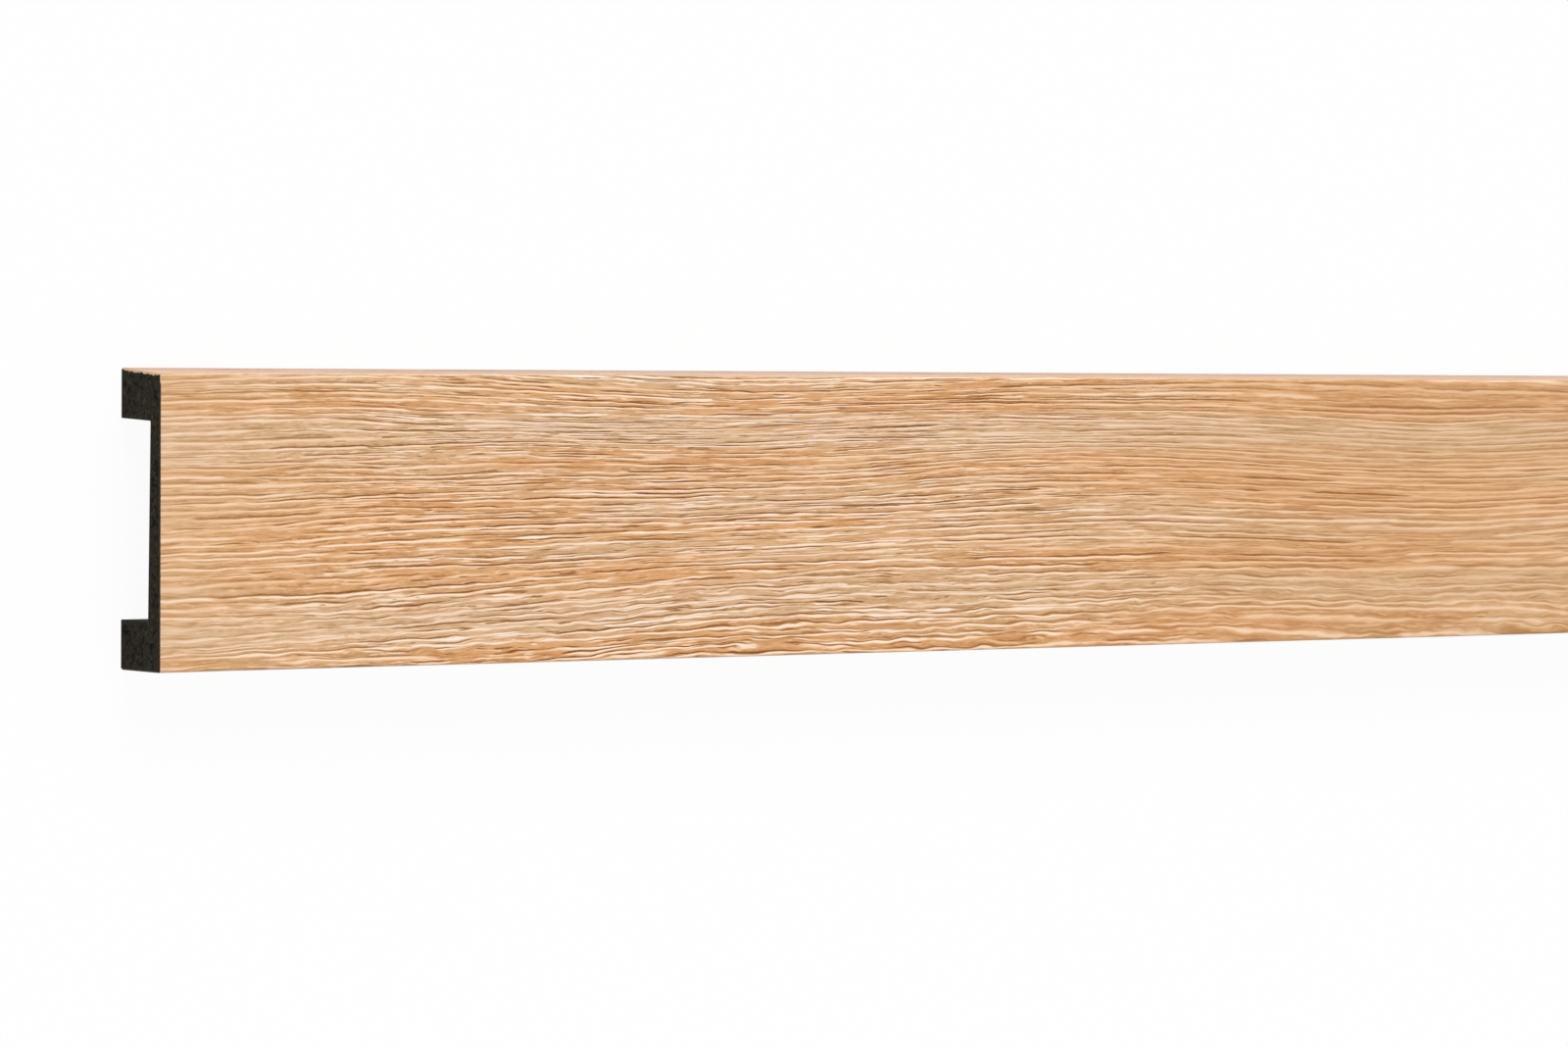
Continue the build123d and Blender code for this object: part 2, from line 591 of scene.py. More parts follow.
@dataclass(frozen=True)
class OakPrint:
    """The foil's finish: limed oak, printed on a matt film.

    The bare print has a tone from 0 to 1 at each place, which the inks turn into a colour. A span of
    two levels says where something starts and is complete, or its least share and what is added.

    Attributes:
        grain: the lines, and how they bend.
        inks: the colour of each tone.
        ground: the tone between the lines.
        calm_ground: how much darker it is on the far stretch.
        fibre_tone: how much the finest streaks change it.
        cloud_cell: the size of soft clouds in it.
        cloud_tone: how much they change it.
        streak_cell: the size of the streaks in it.
        streak_tone: how much they change it.
        limed: the tone of the limed lines.
        warm: what the colour is multiplied by where the print is warm.
        broad_cell: the size of the broad warm patches.
        narrow_cell: the size of the narrow ones.
        patch_mix: the shares of the broad and the narrow patches.
        patch_shown: where the warm patches start and are complete.
        patch_tones: how warm the print is outside them, and how much more inside.
        olive_cools: how much of the warmth the olive streaks take away.
        calm_cools: how much of it is gone on the far stretch.
        near_warms: how much of it there is at the near end, and how much is added further on.
        limed_cools: how much of it the limed lines take away.
        olive_at_mm: the middle of each olive streak across the film, and its half-width.
        olive_cell: the size of the patches that break up the olive streaks.
        olive_patchy: how much they do so.
        olive_edge: how the streaks fade, from the reach where they start to where they are full.
        painted_sheen_fold: painted sheen: the paler, greyer film at the fold of the +Y side.
        darker_back_edge: that side's colour at its back edge, darker towards that edge.
        sheen_shown: how soon after the fold the painted sheen shows.
        sheen_cover: how much of the print it covers.
        painted_highlight_lower_fold: painted highlight: a pale film colour on the -Y side, which faces
            away from the light.
        lower_highlight_shown: how soon after the fold it shows.
        lower_highlight_cover: how much of the print it covers.
        torn_ink: the torn rim where its own tan shows.
        dark_rim_colour: the near-black colour of the torn rim away from the +Y side.
        relief_mm: the depth of the print's fine relief.
        fibre_relief: the height of the finest streaks in it, as a share.
        relief_strength: how strongly the relief turns the light.
        rough: the roughness of the bare film.
        dark_rough: how much rougher the brown lines are.
        fibre_rough: how much the finest streaks change it.
        gloss: the strength of the film's reflections.
    """

    grain: LimedOak = LimedOak()
    inks: tuple[tuple[float, Colour], ...] = (
        (0.0, paint(116, 68, 18)),
        (0.16, paint(157, 109, 58)),
        (0.32, paint(192, 149, 103)),
        (0.5, paint(219, 181, 141)),
        (0.66, paint(233, 199, 163)),
        (0.84, paint(248, 224, 202)),
        (1.0, paint(255, 247, 240)),
    )
    ground: float = 0.455
    calm_ground: float = 0.05
    fibre_tone: float = 0.17
    cloud_cell: Cell = (60.0, 4.0, 1.0)
    cloud_tone: float = 0.12
    streak_cell: Cell = (14.0, 0.5, 1.0)
    streak_tone: float = 0.5
    limed: float = 0.98
    warm: Colour = (1.0, 0.78, 0.55, 1.0)
    broad_cell: Cell = (160.0, 9.0, 1.0)
    narrow_cell: Cell = (36.0, 1.8, 1.0)
    patch_mix: Span = (0.72, 0.28)
    patch_shown: Span = (0.36, 0.6)
    patch_tones: Span = (0.15, 0.85)
    olive_cools: float = 0.75
    calm_cools: float = 0.24
    near_warms: Span = (0.5, 0.5)
    limed_cools: float = 0.6
    olive_at_mm: tuple[Span, ...] = ((61.0, 5.0), (23.0, 4.0))
    olive_cell: Cell = (90.0, 3.5, 1.0)
    olive_patchy: float = 2.2
    olive_edge: Span = (1.5, 0.1)
    # Painted sheen on the +Y side, darker towards its back edge
    painted_sheen_fold: Colour = paint(204, 177, 160)
    darker_back_edge: Colour = paint(157, 134, 121)
    sheen_shown: Span = (0.02, 0.055)
    sheen_cover: float = 0.58
    # Painted highlight on the -Y side, which faces away from the light
    painted_highlight_lower_fold: Colour = paint(255, 236, 216)
    lower_highlight_shown: Span = (0.0, 0.025)
    lower_highlight_cover: float = 0.7
    torn_ink: Colour = paint(222, 184, 148)
    # Near-black on the torn rim away from the +Y side
    dark_rim_colour: Colour = paint(38, 33, 28)
    relief_mm: float = 0.09
    fibre_relief: float = 0.2
    relief_strength: float = 0.8
    rough: float = 0.54
    dark_rough: float = 0.12
    fibre_rough: float = 0.03
    gloss: float = 0.35

    def material(self) -> bpy.types.Material:
        """Makes the material.

        Returns:
            The new material.
        """
        material, sheet = blank_material("limed_oak_print")
        bent = self.grain.flow(sheet, sheet.carried(FILM_PLACE, "Vector"))
        fibres = self.grain.fibres(sheet, bent)
        marks = self.grain.draw(sheet, bent, fibres)
        height = (fibres * self.fibre_relief - marks.dark) * (self.relief_mm * MM)
        relief = {"Height": height, "Distance": 1.0, "Strength": self.relief_strength}
        shader = sheet.add(
            "ShaderNodeBsdfPrincipled",
            {},
            {
                "Base Color": self.colour(sheet, bent, marks, fibres),
                "Roughness": self.rough + marks.dark * self.dark_rough - fibres * self.fibre_rough,
                "Normal": sheet.add("ShaderNodeBump", {}, relief),
                "Specular IOR Level": self.gloss,
            },
        )
        sheet.add("ShaderNodeOutputMaterial", {}, {"Surface": shader})
        return material

    def colour(self, sheet: NodeSheet, bent: Wire, marks: Marks, fibres: Wire) -> Wire:
        """Lays the print, the painted sheen and highlight on the sides and the rim's colours together.

        Args:
            sheet: the material's tree.
            bent: the place on the bent film, in mm.
            marks: the grain lines.
            fibres: the finest streaks.

        Returns:
            The colour.
        """
        cloud = sheet.noise(bent, self.cloud_cell, seed=51.0, detail=1.0) - 0.5
        streak = sheet.noise(bent, self.streak_cell, seed=61.0, detail=3.0, roughness=0.65) - 0.5
        calm = sheet.split(bent).rise(*self.grain.calm_mm)
        ground = self.ground - calm * self.calm_ground + fibres * self.fibre_tone
        ground = ground + cloud * self.cloud_tone + streak * self.streak_tone
        limed = ground + marks.cream * (self.limed - ground)
        tone = limed - marks.dark * limed
        printed = sheet.add("ShaderNodeValToRGB", {"stops": dict(self.inks)}, {"Fac": tone})
        warmth = self.warmth(sheet, bent) * (1 - marks.cream * self.limed_cools)
        face = sheet.tint(warmth, printed, self.warm)
        wrapped = sheet.carried(Carried.WRAPPED.value)
        upper, lower = wrapped.clamped(), (-wrapped).clamped()
        # Painted sheen on the +Y side: paler and greyer at the fold, darker towards the back edge
        sheen_side = sheet.blend(upper, self.painted_sheen_fold, self.darker_back_edge)
        film = sheet.blend(upper.rise(*self.sheen_shown) * self.sheen_cover, face, sheen_side)
        # Painted highlight on the -Y side, which faces away from the light
        lower_highlight_share = lower.rise(*self.lower_highlight_shown) * self.lower_highlight_cover
        film = sheet.blend(lower_highlight_share, film, self.painted_highlight_lower_fold)
        torn = sheet.carried(Carried.TORN.value)
        film = sheet.blend(torn.clamped(), film, self.torn_ink)
        # Near-black on the torn rim away from the +Y side
        return sheet.blend((-torn).clamped(), film, self.dark_rim_colour)

    def warmth(self, sheet: NodeSheet, bent: Wire) -> Wire:
        """How warm the print is at each place, from 0 to 1.

        Args:
            sheet: the material's tree.
            bent: the place on the bent film, in mm.

        Returns:
            The warmth, before the limed lines take theirs away.
        """
        broad = sheet.noise(bent, self.broad_cell, seed=31.0, detail=1.0)
        narrow = sheet.noise(bent, self.narrow_cell, seed=33.0, detail=1.0)
        patches = (broad * self.patch_mix[0] + narrow * self.patch_mix[1]).rise(*self.patch_shown)
        along = sheet.split(bent)
        calm, near = along.rise(*self.grain.calm_mm), along.rise(*self.grain.pale_end_mm)
        warmth = self.patch_tones[0] + patches * self.patch_tones[1]
        warmth = warmth * (1 - self.olive_streaks(sheet, bent) * self.olive_cools)
        near_least, near_more = self.near_warms
        return warmth * ((1 - calm * self.calm_cools) * (near * near_more + near_least))

    def olive_streaks(self, sheet: NodeSheet, bent: Wire) -> Wire:
        """Where the print turns greener, in a few long streaks.

        Args:
            sheet: the material's tree.
            bent: the place on the bent film, in mm.

        Returns:
            The streaks, from 0 to 1.
        """
        across = sheet.split(bent).other("Y")
        patchy = sheet.noise(bent, self.olive_cell, seed=37.0, detail=2.0) - 0.5
        total: Wire | float = 0.0
        for middle, half_width in self.olive_at_mm:
            reach = (across - middle).size() / half_width + patchy * self.olive_patchy
            total = reach.rise(*self.olive_edge) + total
        return total.clamped()


@dataclass(frozen=True)
class BlackFoam:
    """The core's finish: a satin extruded skin, and open cells where the saw has cut it.

    Attributes:
        skin: the extruded skin.
        cut: the sawn foam.
        pit: painted shade: the dark colour inside an open cell, where shade falls.
        dust: the flecks of cut foam.
        cell: the size of the open cells.
        cell_shown: where their noise starts and ends its rise.
        inside_mm: how deep under the skin the cells start and are fully open.
        cell_shares: how open they are at the skin, and how much more inside.
        fleck_size: the size of a fleck.
        fleck_shown: where their noise starts and ends its rise.
        dust_cover: how much of the cut they cover.
        pit_shade_cover: how far the painted shade darkens the open cells of the cut.
        line_cell: the size of the lines that the die leaves on the skin.
        line_height: their height.
        cell_depth: the depth of the open cells in the relief.
        fleck_height: the height of a fleck, as a share of that.
        relief_strength: how strongly the relief turns the light.
        rough: the roughness of the skin.
        cut_rough: how much rougher the cut is.
        line_rough: how much the die's lines change it.
        gloss: the strength of the foam's reflections.
    """

    skin: Colour = paint(26, 23, 20)
    cut: Colour = paint(45, 41, 33)
    # Painted shade inside the open cells
    pit: Colour = paint(12, 9, 6)
    dust: Colour = paint(78, 74, 64)
    cell: Cell = (1.3 * MM, 1.1 * MM, 1.3 * MM)
    cell_shown: Span = (0.49, 0.6)
    inside_mm: Span = (0.3, 1.3)
    cell_shares: Span = (0.2, 0.8)
    fleck_size: float = 0.9 * MM
    fleck_shown: Span = (0.55, 0.66)
    dust_cover: float = 0.45
    pit_shade_cover: float = 0.85
    line_cell: Cell = (0.6, 0.9 * MM, 0.9 * MM)
    line_height: float = 0.012 * MM
    cell_depth: float = 0.06 * MM
    fleck_height: float = 0.4
    relief_strength: float = 0.7
    rough: float = 0.36
    cut_rough: float = 0.36
    line_rough: float = 0.2
    gloss: float = 0.05

    def material(self) -> bpy.types.Material:
        """Makes the material.

        Returns:
            The new material.
        """
        material, sheet = blank_material("black_polystyrene_foam")
        place = sheet.add("ShaderNodeTexCoord", {}, {}, "Object")
        sawn = sheet.carried(Carried.CUT.value).size()
        inside = sheet.carried(Carried.FROM_SKIN.value).rise(*self.inside_mm)
        at_skin, further_in = self.cell_shares
        cells = sheet.noise(place, self.cell, seed=2.0, detail=3.0, roughness=0.65)
        open_cell = cells.rise(*self.cell_shown) * (inside * further_in + at_skin) * sawn
        flecks = sheet.noise(place, (self.fleck_size,) * 3, seed=8.0, detail=3.0)
        fleck = flecks.rise(*self.fleck_shown) * sawn
        lines = sheet.noise(place, self.line_cell, seed=4.0, detail=3.0) - 0.5
        colour = sheet.blend(sawn, self.skin, self.cut)
        colour = sheet.blend(fleck * self.dust_cover, colour, self.dust)
        # Painted shade in the open cells
        colour = sheet.blend(open_cell * self.pit_shade_cover, colour, self.pit)
        height = (fleck * self.fleck_height - open_cell) * self.cell_depth
        height = height + lines * (1 - sawn) * self.line_height
        relief = {"Height": height, "Distance": 1.0, "Strength": self.relief_strength}
        shader = sheet.add(
            "ShaderNodeBsdfPrincipled",
            {},
            {
                "Base Color": colour,
                "Roughness": self.rough + sawn * self.cut_rough + lines * self.line_rough,
                "Normal": sheet.add("ShaderNodeBump", {}, relief),
                "Specular IOR Level": self.gloss,
            },
        )
        sheet.add("ShaderNodeOutputMaterial", {}, {"Surface": shader})
        return material


# Outlines and meshes


def rounded_path(
    corners: Sequence[tuple[float, float]], radii: Sequence[float], steps: Sequence[float], closed: bool
) -> np.ndarray:
    """Walks along straight runs joined by arcs.

    Args:
        corners: the sharp corners, in order.
        radii: the radius at each corner, or 0 where it stays sharp.
        steps: the greatest distance between points on the run that leads to each corner.
        closed: whether the last corner leads back to the first.

    Returns:
        The points, one row each, without repeating the first.
    """
    arc_points = 5
    sharp = np.array(corners, float)
    count = len(sharp)
    bends = []
    for index, (corner, radius) in enumerate(zip(sharp, radii, strict=True)):
        if radius == 0:
            bends.append(corner[None, :])
            continue
        back = sharp[index - 1] - corner
        ahead = sharp[(index + 1) % count] - corner
        back /= np.linalg.norm(back)
        ahead /= np.linalg.norm(ahead)
        half_turn = math.acos(float(back @ ahead)) / 2
        middle = (back + ahead) / np.linalg.norm(back + ahead)
        centre = corner + middle * radius / math.sin(half_turn)
        reach = radius / math.tan(half_turn)
        start, end = corner + back * reach - centre, corner + ahead * reach - centre
        sweep = math.pi - 2 * half_turn
        shares = np.linspace(0, 1, arc_points)[:, None]
        arc = (np.sin((1 - shares) * sweep) * start + np.sin(shares * sweep) * end) / math.sin(sweep)
        bends.append(centre + arc)
    points = []
    for index, bend in enumerate(bends):
        if closed or index > 0:
            start, end = bends[index - 1][-1], bend[0]
            pieces = max(1, math.ceil(np.linalg.norm(end - start) / steps[index]))
            shares = np.linspace(0, 1, pieces + 1)[1:-1, None]
            points.append(start + (end - start) * shares)
        points.append(bend)
    return np.concatenate(points)


def lengths_along(points: np.ndarray) -> np.ndarray:
    """The distance from the first point to each one, along the path."""
    return np.concatenate([[0.0], np.cumsum(np.linalg.norm(np.diff(points, axis=0), axis=1))])


def left_of_path(points: np.ndarray, closed: bool) -> np.ndarray:
    """Finds the direction to the left of the path at each of its points.

    Args:
        points: the path.
        closed: whether its last point leads back to the first.

    Returns:
        One direction of length 1 for each point.
    """
    if closed:
        ahead = np.roll(points, -1, axis=0) - np.roll(points, 1, axis=0)
    else:
        ahead = np.gradient(points, axis=0)
    left = np.stack([-ahead[:, 1], ahead[:, 0]], axis=1)
    return left / np.linalg.norm(left, axis=1, keepdims=True)


def rough_line(along: np.ndarray, spacing: float, seed: int) -> np.ndarray:
    """An uneven line, with values from 0 to 1.

    Args:
        along: where it is read.
        spacing: the distance between its own random heights.
        seed: picks the line.

    Returns:
        One value for each place.
    """
    spare_knots = 3
    count = math.ceil(along.max() / spacing) + spare_knots
    knots = np.random.default_rng(seed).uniform(0, 1, count)
    at = along / spacing
    low = np.floor(at).astype(int)
    share = at - low
    share = share * share * (3 - 2 * share)
    return knots[low] * (1 - share) + knots[low + 1] * share


def store(mesh: bpy.types.Mesh, name: str, values: np.ndarray) -> None:
    """Writes one number, or one vector, on each point of a mesh.

    Args:
        mesh: the mesh.
        name: the attribute's name.
        values: one value or one row of three for each point.
    """
    kind, field = ("FLOAT", "value") if values.ndim == 1 else ("FLOAT_VECTOR", "vector")
    attribute = mesh.attributes.new(name, kind, "POINT")
    attribute.data.foreach_set(field, values.astype(np.float32).ravel())


def corner_points(mesh: bpy.types.Mesh) -> np.ndarray:
    """Lists the points at the corners of a mesh's faces.

    Args:
        mesh: the mesh.

    Returns:
        The number of the point at each corner, face by face.
    """
    corners = np.empty(len(mesh.loops), np.int32)
    mesh.loops.foreach_get("vertex_index", corners)
    return corners


def store_map(mesh: bpy.types.Mesh, flat: np.ndarray) -> None:
    """Gives a mesh its bake map: the place of each face corner on it, from 0 to 1 both ways."""
    layer = mesh.uv_layers.new(name=BAKE_MAP)
    layer.data.foreach_set("uv", (MAP_START + MAP_SHARE * flat).astype(np.float32).ravel())


def place_object(name: str, data: bpy.types.ID) -> bpy.types.Object:
    """Puts a new object into the scene, at the origin.

    Args:
        name: its name.
        data: its mesh, lamp or camera.

    Returns:
        The object.
    """
    obj = bpy.data.objects.new(name, data)
    bpy.context.scene.collection.objects.link(obj)
    return obj


def shaped_by_nodes(
    obj: bpy.types.Object, tree: bpy.types.NodeTree, inputs: Mapping[str, object]
) -> None:
    """Runs a Geometry Nodes tree on an object and keeps the result as its plain mesh.

    Args:
        obj: the object.
        tree: the tree.
        inputs: a value for each of the tree's named inputs.
    """
    modifier = obj.modifiers.new(tree.name, "NODES")
    modifier.node_group = tree
    for item in tree.interface.items_tree:
        if item.item_type == "SOCKET" and item.in_out == "INPUT" and item.name in inputs:
            modifier[item.identifier] = inputs[item.name]
    depsgraph = bpy.context.evaluated_depsgraph_get()
    shaped = bpy.data.meshes.new_from_object(
        obj.evaluated_get(depsgraph), preserve_all_data_layers=True, depsgraph=depsgraph
    )
    obj.modifiers.clear()
    base = obj.data
    obj.data = shaped
    bpy.data.meshes.remove(base)
    shaped.name = obj.name


def geometry_tree(name: str, inputs: Mapping[str, str]) -> tuple[NodeSheet, Wire]:
    """Starts a Geometry Nodes tree with named inputs.

    Args:
        name: the tree's name.
        inputs: the socket type of each input after the geometry, by name.

    Returns:
        The sheet, and the first output of its Group Input node.
    """
    tree = bpy.data.node_groups.new(name, "GeometryNodeTree")
    tree.interface.new_socket("Geometry", in_out="INPUT", socket_type="NodeSocketGeometry")
    for label, kind in inputs.items():
        tree.interface.new_socket(label, in_out="INPUT", socket_type=kind)
    tree.interface.new_socket("Geometry", in_out="OUTPUT", socket_type="NodeSocketGeometry")
    sheet = NodeSheet(tree)
    return sheet, sheet.add("NodeGroupInput")


def finish_tree(sheet: NodeSheet, entry: Wire, shape: Wire) -> bpy.types.NodeTree:
    """Ends a Geometry Nodes tree: instances made real, and the finish put on.

    Args:
        sheet: the tree's sheet.
        entry: the Group Input node's first output.
        shape: the geometry.

    Returns:
        The tree.
    """
    real = sheet.add("GeometryNodeRealizeInstances", {}, {"Geometry": shape})
    finish = entry.other("Finish")
    dressed = sheet.add("GeometryNodeSetMaterial", {}, {"Geometry": real, "Material": finish})
    sheet.add("NodeGroupOutput", {}, {"Geometry": dressed})
    return sheet.tree


def dress(obj: bpy.types.Object, node: str) -> None:
    """Hands a finished piece to the frame: it rides on the body and stands for its node.

    Args:
        obj: the piece.
        node: the node of the frame that it stands for.
    """
    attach(obj, BODY)
    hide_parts(node)


@dataclass
class Section:
    """The moulding's cross-section, with its outer sizes taken from the frame.

    Reading the frame adds these: start and end, the core's ends along X; core_side and core_top, its
    side and its top; foil_side, foil_top and foil_back, the film's side, top and back edge;
    foil_thickness; and slope, how far the +Y side leans in over each unit of height.

    Attributes:
        foot_width: how wide each foot of the core is.
        web_upper: the web's thickness at the foot on the +Y side, without the foil.
        web_lower: the web's thickness at the foot on the -Y side, without the foil.
        side_lean: how much further in the +Y side lies at the face than at the foil's back edge.
        wall_lean: how much further in the channel's +Y wall lies at the web than at the back.
        face_edge: the rounding of the core's long edges at the face.
        channel_corner: the rounding where a foot meets the web.
        foot_edge: the rounding of the edges of the feet.
    """

    foot_width: float = 9.8 * MM
    web_upper: float = 4.0 * MM
    web_lower: float = 4.8 * MM
    side_lean: float = 1.1 * MM
    wall_lean: float = 0.45 * MM
    face_edge: float = 0.3 * MM
    channel_corner: float = 0.3 * MM
    foot_edge: float = 0.25 * MM

    def __post_init__(self) -> None:
        """Reads the outer sizes of the two nodes and works out what follows from them."""
        core_low, core_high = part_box("core")
        foil_low, foil_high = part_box("foil")
        self.start, self.end = core_low.x, core_high.x
        self.core_side, self.core_top = -core_low.y, core_high.z
        self.foil_side, self.foil_top, self.foil_back = -foil_low.y, foil_high.z, foil_low.z
        self.foil_thickness = self.foil_top - self.core_top
        self.slope = self.side_lean / (self.core_top - self.foil_back)

    def core_outline(self, step: float) -> np.ndarray:
        """Draws the core's closed outline, from the lower foot's outer back edge round the face.

        Args:
            step: the greatest distance between its points.

        Returns:
            The points, as Y and Z.
        """
        side, top = self.core_side, self.core_top
        inner = side - self.foot_width
        corners = [
            (-side, 0.0),
            (-side, top),
            (side - self.side_lean, top),
            (side + self.slope * self.foil_back, 0.0),
            (inner, 0.0),
            (inner - self.wall_lean, top - self.web_upper),
            (-inner, top - self.web_lower),
            (-inner, 0.0),
        ]
        radii = [
            self.foot_edge,
            self.face_edge,
            self.face_edge,
            self.foot_edge,
            self.foot_edge,
            self.channel_corner,
            self.channel_corner,
            self.foot_edge,
        ]
        return rounded_path(corners, radii, [step] * len(corners), closed=True)

    def foil_outline(self, face_step: float, side_step: float) -> np.ndarray:
        """Draws the foil's outer line, up the -Y side, over the face and down the +Y side.

        Args:
            face_step: the greatest distance between its points on the face.
            side_step: the same on the sides.

        Returns:
            The points, as Y and Z.
        """
        lean = math.atan(self.slope)
        out = self.foil_thickness
        face_edge_y = self.core_side - self.side_lean + out / math.cos(lean) - out * self.slope
        back_edge = (self.core_side + out * math.cos(lean), self.foil_back + out * math.sin(lean))
        corners = [
            (-self.foil_side, self.foil_back),
            (-self.foil_side, self.foil_top),
            (face_edge_y, self.foil_top),
            back_edge,
        ]
        edge = self.face_edge + self.foil_thickness
        steps = [side_step, side_step, face_step, side_step]
        return rounded_path(corners, [0.0, edge, edge, 0.0], steps, closed=False)


@dataclass
class OakFoil:
    """The decor foil: a film with embossed grain, and ragged where the saw has cut it.

    A span of two shares is the share all round and how much more is added to it in places.

    Attributes:
        section: the moulding's cross-section.
        finish: the print.
        face_step: the distance between points across the face.
        side_step: the same down the sides.
        rows: how many rows of faces run along the film.
        emboss_depth: the depth of the embossed grooves.
        settle: how far in from the film's long edges they reach that depth.
        overhang: how far the torn rim may stand out of the cut.
        overhang_teeth: the share of that, and what the fine teeth add.
        overhang_upper: the share of that in turn, and what the +Y side adds.
        fringe: how far the torn rim may hang over the core's end.
        fringe_pitch: the distance between its coarse teeth.
        fringe_finer: how many times as close its fine teeth stand.
        fringe_teeth: the shares of the coarse and the fine teeth.
        fringe_upper: the share of the teeth, and what the +Y side adds.
        upper_reach: how far from the line's end on the +Y side the larger teeth start.
        upper_fade: over what distance they reach their full size.
        tan_width: how far in from the +Y side the rim starts to show its own tan.
        tan_fade: over what distance the tan takes over from the black.
        air: the gap between the hanging rim and the core's end.
        rim: the rim's profile, from the film's inner side round to its outer side. Each row has the
            shares of air and overhang, and then those of the film's thickness and the fringe.
        seed: picks the teeth.
    """

    section: Section
    finish: OakPrint = OakPrint()
    face_step: float = 0.34 * MM
    side_step: float = 0.4 * MM
    rows: int = 372
    emboss_depth: float = 0.06 * MM
    settle: float = 1.5 * MM
    overhang: float = 0.16 * MM
    overhang_teeth: Span = (0.2, 0.8)
    overhang_upper: Span = (0.4, 0.6)
    fringe: float = 0.65 * MM
    fringe_pitch: float = 2.4 * MM
    fringe_finer: float = 3.0
    fringe_teeth: Span = (0.45, 0.55)
    fringe_upper: Span = (0.25, 0.75)
    upper_reach: float = 15.0 * MM
    upper_fade: float = 3.0 * MM
    tan_width: float = 3.0 * MM
    tan_fade: float = 1.0 * MM
    air: float = 0.02 * MM
    rim: tuple[tuple[float, float, float, float], ...] = (
        (0.0, 0.0, 1.0, 0.0),
        (1.0, 0.0, 1.0, 0.0),
        (1.0, 0.0, 1.0, 1.0),
        (1.0, 0.35, 1.0, 1.0),
        (1.0, 1.0, 0.6, 0.6),
        (1.0, 1.0, 0.3, 0.0),
        (0.6, 0.6, 0.0, 0.0),
    )
    seed: int = 4

    def build(self) -> bpy.types.Object:
        """Makes the foil.

        Returns:
            The finished piece.
        """
        line = self.section.foil_outline(self.face_step, self.side_step)
        outward = left_of_path(line, closed=False)
        around = lengths_along(line)
        loops = list(self.cut_loops(line, outward, around, CutEnd.NEAR))
        for x in np.linspace(self.section.start, self.section.end, self.rows + 1):
            loops.append(np.column_stack([np.full(len(line), x), line]))
        loops += reversed(list(self.cut_loops(line, outward, around, CutEnd.FAR)))
        points = np.stack(loops)
        mesh = self.closed_band(points)
        self.store_marks(mesh, points, line, around)
        obj = place_object("oak_foil", mesh)
        inputs = {"Depth": self.emboss_depth, "Finish": self.finish.material()}
        shaped_by_nodes(obj, self.emboss_tree(), inputs)
        obj.data.shade_smooth()
        dress(obj, "foil")
        return obj

    def store_marks(
        self, mesh: bpy.types.Mesh, points: np.ndarray, line: np.ndarray, around: np.ndarray
    ) -> None:
        """Writes on the film's points what the finish and the embossing read there.

        Args:
            mesh: the film's mesh.
            points: its loops of points.
            line: the film's outer line.
            around: the distance along that line.
        """
        first_row = len(self.rim)
        last_row = first_row + self.rows
        emboss = np.zeros(points.shape[:2])
        settled = np.minimum(around, around[-1] - around) / self.settle
        emboss[first_row + 1 : last_row] = np.clip(settled, 0, 1)
        store(mesh, Carried.EMBOSS.value, emboss.ravel())
        store(mesh, Carried.WRAPPED.value, np.tile(self.wrapped_mark(line), len(points)))
        torn = np.zeros(points.shape[:2])
        torn[:first_row] = self.torn_mark(line)
        torn[last_row + 1 :] = self.torn_mark(line)
        store(mesh, Carried.TORN.value, torn.ravel())
        along = points[:, :, 0] - self.section.start
        place = np.stack([along, np.broadcast_to(around, along.shape), np.zeros_like(along)], axis=2)
        store(mesh, FILM_PLACE, place.reshape(-1, 3) / MM)

    def wrapped_mark(self, line: np.ndarray) -> np.ndarray:
        """How far down a side each point is, up to 1 on the +Y side and down to -1 on the -Y side."""
        depth = (self.section.foil_top - line[:, 1]) / (self.section.foil_top - self.section.foil_back)
        return depth * np.sign(line[:, 0])

    def torn_mark(self, line: np.ndarray) -> np.ndarray:
        """Tells how the sawn rim looks at each point.

        Args:
            line: the film's outer line.

        Returns:
            1 where the rim's own tan shows, -1 where it is coloured black.
        """
        inward = line[:, 0] - self.section.core_side + self.tan_width
        upper = np.clip(inward / self.tan_fade, 0, 1)
        return 2 * upper - 1

    def cut_loops(
        self, line: np.ndarray, outward: np.ndarray, around: np.ndarray, end: CutEnd
    ) -> Iterable[np.ndarray]:
        """The rim of the film at a sawn end, from its inner side out to the first row.

        Args:
            line: the film's outer line.
            outward: the direction out of the film at each point of it.
            around: the distance along that line.
            end: which end it is.

        Returns:
            The loops of points, the innermost first.
        """
        face_end = self.section.start if end is CutEnd.NEAR else self.section.end
        coarse = rough_line(around, self.fringe_pitch, self.seed)
        fine = rough_line(around, self.fringe_pitch / self.fringe_finer, self.seed + 1)
        upper = np.clip((around - around[-1] + self.upper_reach) / self.upper_fade, 0, 1)
        teeth = self.fringe_teeth[0] * coarse + self.fringe_teeth[1] * fine
        hang = self.fringe * teeth * (self.fringe_upper[0] + self.fringe_upper[1] * upper)
        out = self.overhang * (self.overhang_teeth[0] + self.overhang_teeth[1] * fine)
        out = out * (self.overhang_upper[0] + self.overhang_upper[1] * upper)
        for air_share, out_share, thick_share, hang_share in self.rim:
            ahead = air_share * self.air + out_share * out
            depth = thick_share * self.section.foil_thickness + hang_share * hang
            x = face_end + end.value * ahead
            yield np.column_stack([x, line - outward * depth[:, None]])

